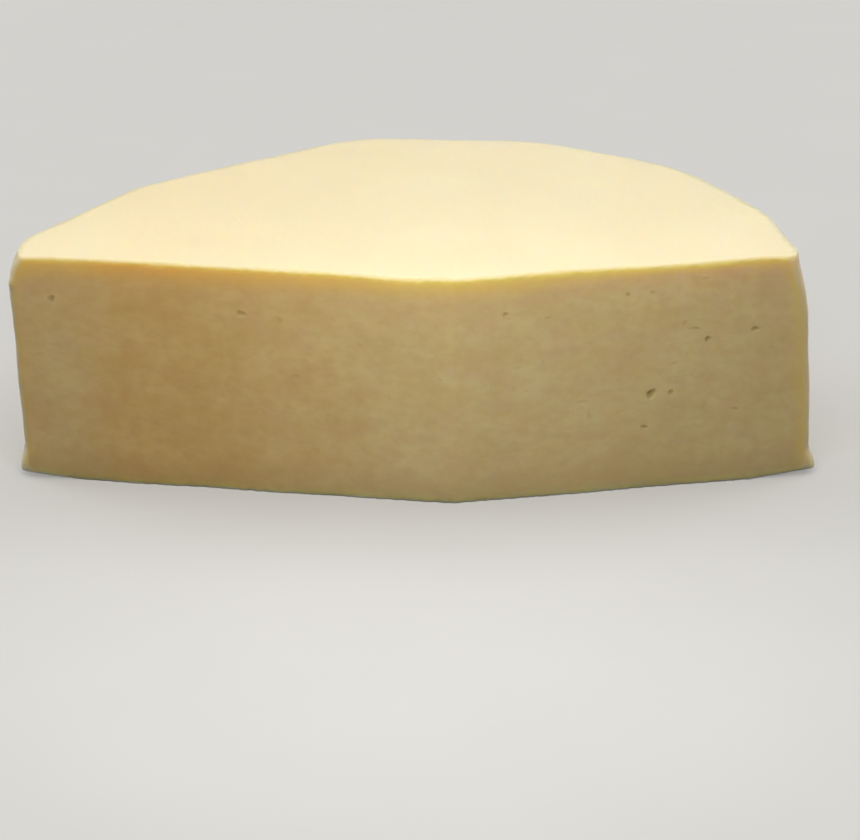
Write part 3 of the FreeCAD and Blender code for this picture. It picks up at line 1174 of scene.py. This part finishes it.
class CHEESE_OT_wheel(bpy.types.Operator):
    """Builds the cut cheese wheel with its rind, cut faces and eyes"""

    bl_idname = "cheese.build_wheel"
    bl_label = "Cut cheese wheel"

    def execute(self, context):
        form = WheelForm(context.scene.cheese_shape)
        look = context.scene.cheese_look
        points, faces, slots = plain_mesh(form)
        mesh = bpy.data.meshes.new(PIECE_NAME)
        mesh.from_pydata((points * MM).tolist(), [], faces)
        for material in (
            cloth_pressed_rind(look, "cloth_pressed_rind", TOP_SINK, cut_edge_shows=False),
            knife_cut_paste(look),
            cloth_pressed_rind(look, "board_turned_rind", SIDE_SINK, cut_edge_shows=True),
        ):
            mesh.materials.append(material)
        mesh.polygons.foreach_set("material_index", slots)
        refine_near_eyes(mesh, form)

        flat = np.empty(len(mesh.vertices) * 3)
        mesh.vertices.foreach_get("co", flat)
        moved, measures = shaped(flat.reshape(-1, 3) / MM, form)
        moved[:, :2] += self.offset(points)
        mesh.vertices.foreach_set("co", (moved * MM).ravel())
        for name, values in measures.items():
            mesh.attributes.new(name, "FLOAT", "POINT").data.foreach_set("value", values)
        mesh.polygons.foreach_set("use_smooth", [True] * len(mesh.polygons))
        mesh.update()
        if mesh.validate():
            raise RuntimeError("the cheese mesh had faulty faces")

        piece = bpy.data.objects.new(PIECE_NAME, mesh)
        context.scene.collection.objects.link(piece)
        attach(piece, WHEEL_BODY)
        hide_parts(WHEEL_NODE)
        return {"FINISHED"}

    @staticmethod
    def offset(points):
        """From the wheel's own middle to the frame, where the CAD box says the part stands."""
        plan = points[:, :2]
        return (WHEEL_LOW[:2] + WHEEL_HIGH[:2] - plan.min(axis=0) - plan.max(axis=0)) / 2


class CHEESE_OT_stage(bpy.types.Operator):
    """Lays the pale floor, hangs the soft lights and sets the camera"""

    bl_idname = "cheese.build_stage"
    bl_label = "Studio stage"

    def execute(self, context):
        scene = context.scene
        stage = scene.stage_settings
        self.floor(scene, scene.cheese_look)
        self.lights(scene, stage)
        self.camera(scene, stage)
        scene.view_settings.view_transform = "Standard"
        return {"FINISHED"}

    def floor(self, scene, look):
        signs = ((-1, -1), (1, -1), (1, 1), (-1, 1))
        corners = [(x * FLOOR_HALF, y * FLOOR_HALF, -FLOOR_GAP) for x, y in signs]
        mesh = bpy.data.meshes.new("studio_floor")
        mesh.from_pydata(corners, [], [(0, 1, 2, 3)])
        mesh.materials.append(matt_painted_board(look))
        floor = bpy.data.objects.new("studio_floor", mesh)
        scene.collection.objects.link(floor)

    def lights(self, scene, stage):
        low, high = (Vector(corner) * MM for corner in (WHEEL_LOW, WHEEL_HIGH))
        middle = (low + high) / 2
        overhead = middle + Vector(OVERHEAD_PLACE)
        front = Vector((0.0, low.y - FRONT_AWAY, FRONT_HEIGHT))
        front_aim = Vector((0.0, low.y, FRONT_AIM))
        left, right = (
            middle + Vector((side * SIDE_PLACE[0], *SIDE_PLACE[1:])) for side in (-1, 1)
        )
        for name, place, target, size, power in (
            ("overhead_softbox", overhead, middle, OVERHEAD_SIZE, stage.key_power),
            ("front_softbox", front, front_aim, FRONT_SIZE, stage.fill_power),
            ("left_softbox", left, middle, SIDE_SIZE, stage.side_power),
            ("right_softbox", right, middle, SIDE_SIZE, stage.side_power),
        ):
            self.area_light(scene, name, place, target, size, power)
        world = bpy.data.worlds.new("studio_room")
        world.use_nodes = True
        tree = world.node_tree
        tree.nodes.clear()
        room, wall = (
            add_node(tree, "ShaderNodeBackground", {"Color": (*colour, 1), "Strength": strength})
            for colour, strength in (((1, 1, 1), stage.sky), (linear(BACKDROP), 1.0))
        )
        path = add_node(tree, "ShaderNodeLightPath")
        mixed = add_node(
            tree,
            "ShaderNodeMixShader",
            {
                SHADER_SHARE: path.outputs["Is Camera Ray"],
                SHADER_A: room.outputs["Background"],
                SHADER_B: wall.outputs["Background"],
            },
        )
        add_node(tree, "ShaderNodeOutputWorld", {"Surface": mixed.outputs["Shader"]})
        scene.world = world

    @staticmethod
    def area_light(scene, name, place, target, size, power):
        lamp = bpy.data.lights.new(name, "AREA")
        lamp.shape = "RECTANGLE"
        lamp.size, lamp.size_y = size
        lamp.energy = power
        light = bpy.data.objects.new(name, lamp)
        light.location = place
        light.rotation_euler = (target - place).to_track_quat("-Z", "Y").to_euler()
        light.visible_camera = False
        scene.collection.objects.link(light)

    @staticmethod
    def camera(scene, stage):
        shape = scene.cheese_shape
        form = WheelForm(shape)
        row = Row(form)
        points = np.vstack([row.points(form, height) for height in row_heights(form)])
        front_edge = form.apex + CHEESE_OT_wheel.offset(points)
        forward = Vector((0.0, math.cos(stage.look_down), -math.sin(stage.look_down)))
        upward = Vector((0.0, math.sin(stage.look_down), math.cos(stage.look_down)))
        rightward = Vector((1.0, 0.0, 0.0))
        edge_top = Vector((*(front_edge * MM), shape.wheel_height))
        data = bpy.data.cameras.new("studio_camera")
        data.sensor_width = FILM_WIDTH
        data.lens = stage.lens
        data.clip_start = NEAREST_SEEN
        camera = bpy.data.objects.new("studio_camera", data)
        place = edge_top - forward * stage.distance
        place -= rightward * stage.aim_left + upward * stage.aim_low
        turn = Matrix((rightward, upward, -forward)).transposed().to_4x4()
        camera.matrix_world = Matrix.Translation(place) @ turn
        scene.collection.objects.link(camera)
        scene.camera = camera


class CHEESE_PT_panel(bpy.types.Panel):
    """Lists the sizes, colours and stage, with a button for each step"""

    bl_idname = "CHEESE_PT_panel"
    bl_label = "Cut Cheese Wheel"
    bl_space_type = "VIEW_3D"
    bl_region_type = "UI"
    bl_category = "Cheese"

    def draw(self, context):
        scene = context.scene
        for settings, operator in (
            (scene.cheese_shape, CHEESE_OT_wheel),
            (scene.cheese_look, None),
            (scene.stage_settings, CHEESE_OT_stage),
        ):
            box = self.layout.box()
            for name in type(settings).__annotations__:
                box.prop(settings, name)
            if operator:
                box.operator(operator.bl_idname)


CLASSES = (
    CheeseShape,
    CheeseLook,
    StageSettings,
    CHEESE_OT_wheel,
    CHEESE_OT_stage,
    CHEESE_PT_panel,
)


def register():
    for cls in CLASSES:
        bpy.utils.register_class(cls)
    bpy.types.Scene.cheese_shape = PointerProperty(type=CheeseShape)
    bpy.types.Scene.cheese_look = PointerProperty(type=CheeseLook)
    bpy.types.Scene.stage_settings = PointerProperty(type=StageSettings)


def unregister():
    del bpy.types.Scene.stage_settings
    del bpy.types.Scene.cheese_look
    del bpy.types.Scene.cheese_shape
    for cls in reversed(CLASSES):
        bpy.utils.unregister_class(cls)


def main():
    register()
    for build in (bpy.ops.cheese.build_wheel, bpy.ops.cheese.build_stage):
        if build() != {"FINISHED"}:
            raise RuntimeError("a step of the cheese wheel did not finish")


if __name__ == "__main__":
    main()
